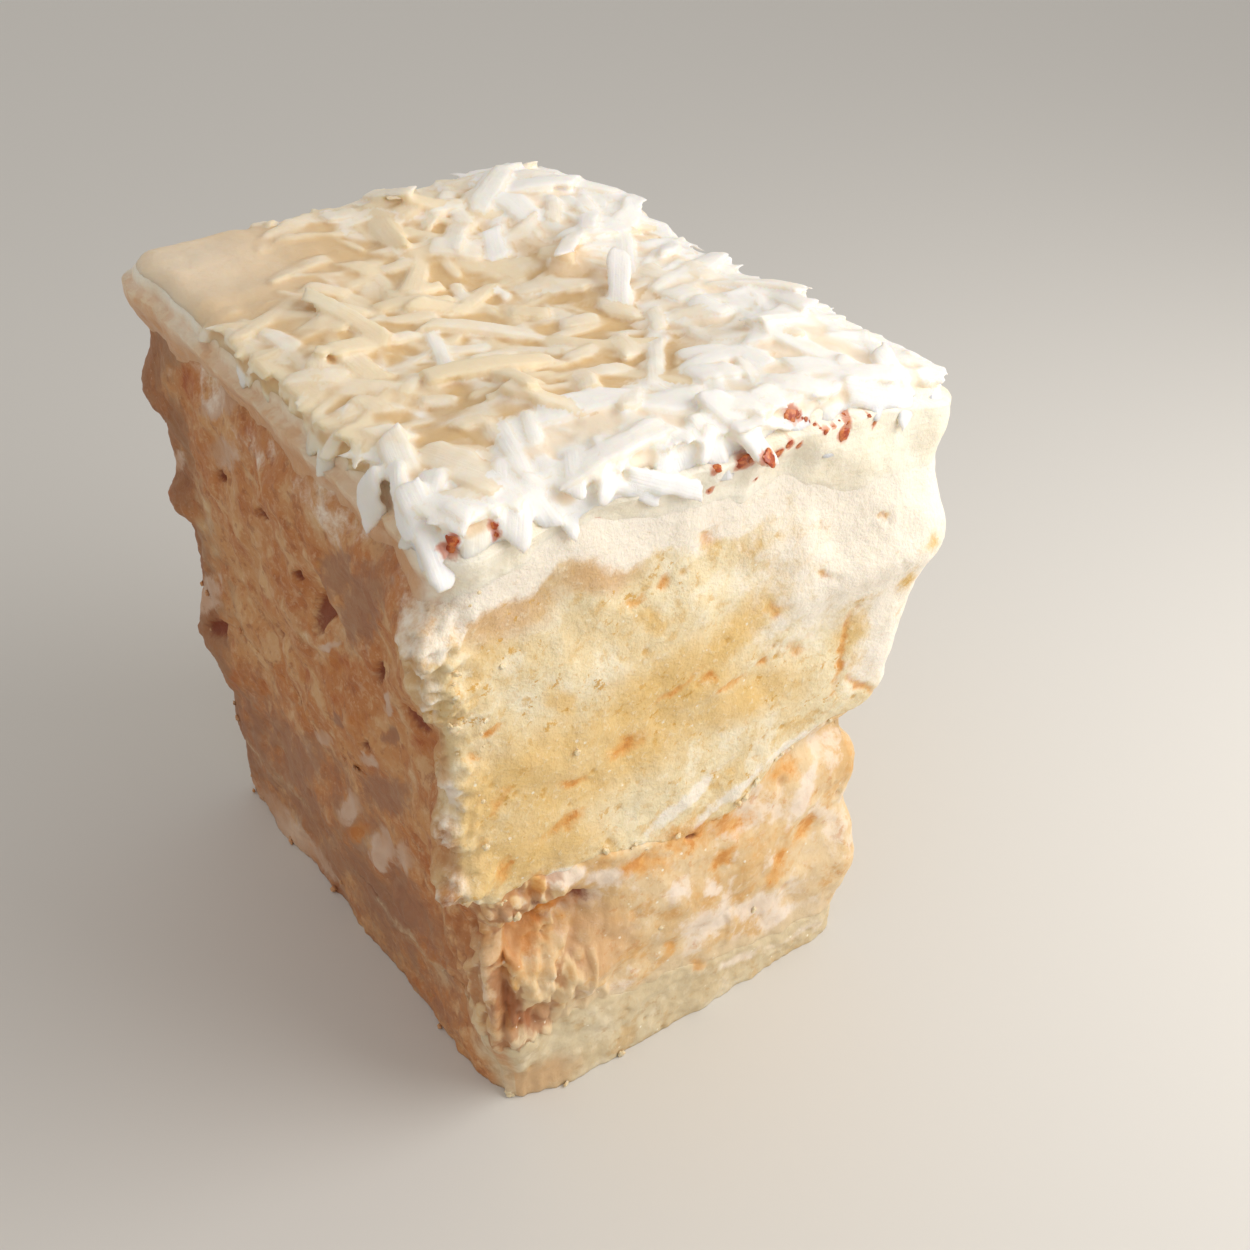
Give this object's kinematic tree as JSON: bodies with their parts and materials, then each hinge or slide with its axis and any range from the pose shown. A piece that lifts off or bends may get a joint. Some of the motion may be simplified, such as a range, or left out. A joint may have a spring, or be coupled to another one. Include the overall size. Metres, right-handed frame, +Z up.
{
  "type": "coconut layer cake",
  "caption": "Cut piece of layer cake: pale sponge, coconut cream filling, thick sponge and a frosted top under coconut shreds",
  "frame": {"origin": "middle of the piece's box, on the flat base it rests on", "axes": "+Z up through the layers; +X to the right along the lit cut face, which looks towards -Y; the shaded cut face looks towards -X"},
  "size_m": [0.0486, 0.0577, 0.0653],
  "materials": {
    "lower_sponge": "moist pale sponge crumb, matte",
    "cream_filling": "coconut cream with strands, satin",
    "upper_sponge": "pale yellow sponge crumb, moist, matte",
    "coconut_frosting": "white cream and coconut shreds, satin"
  },
  "bodies": {
    "root": {"lower_sponge": "lower_sponge", "cream_filling": "cream_filling", "upper_sponge": "upper_sponge", "coconut_frosting": "coconut_frosting"}
  },
  "joints": []
}
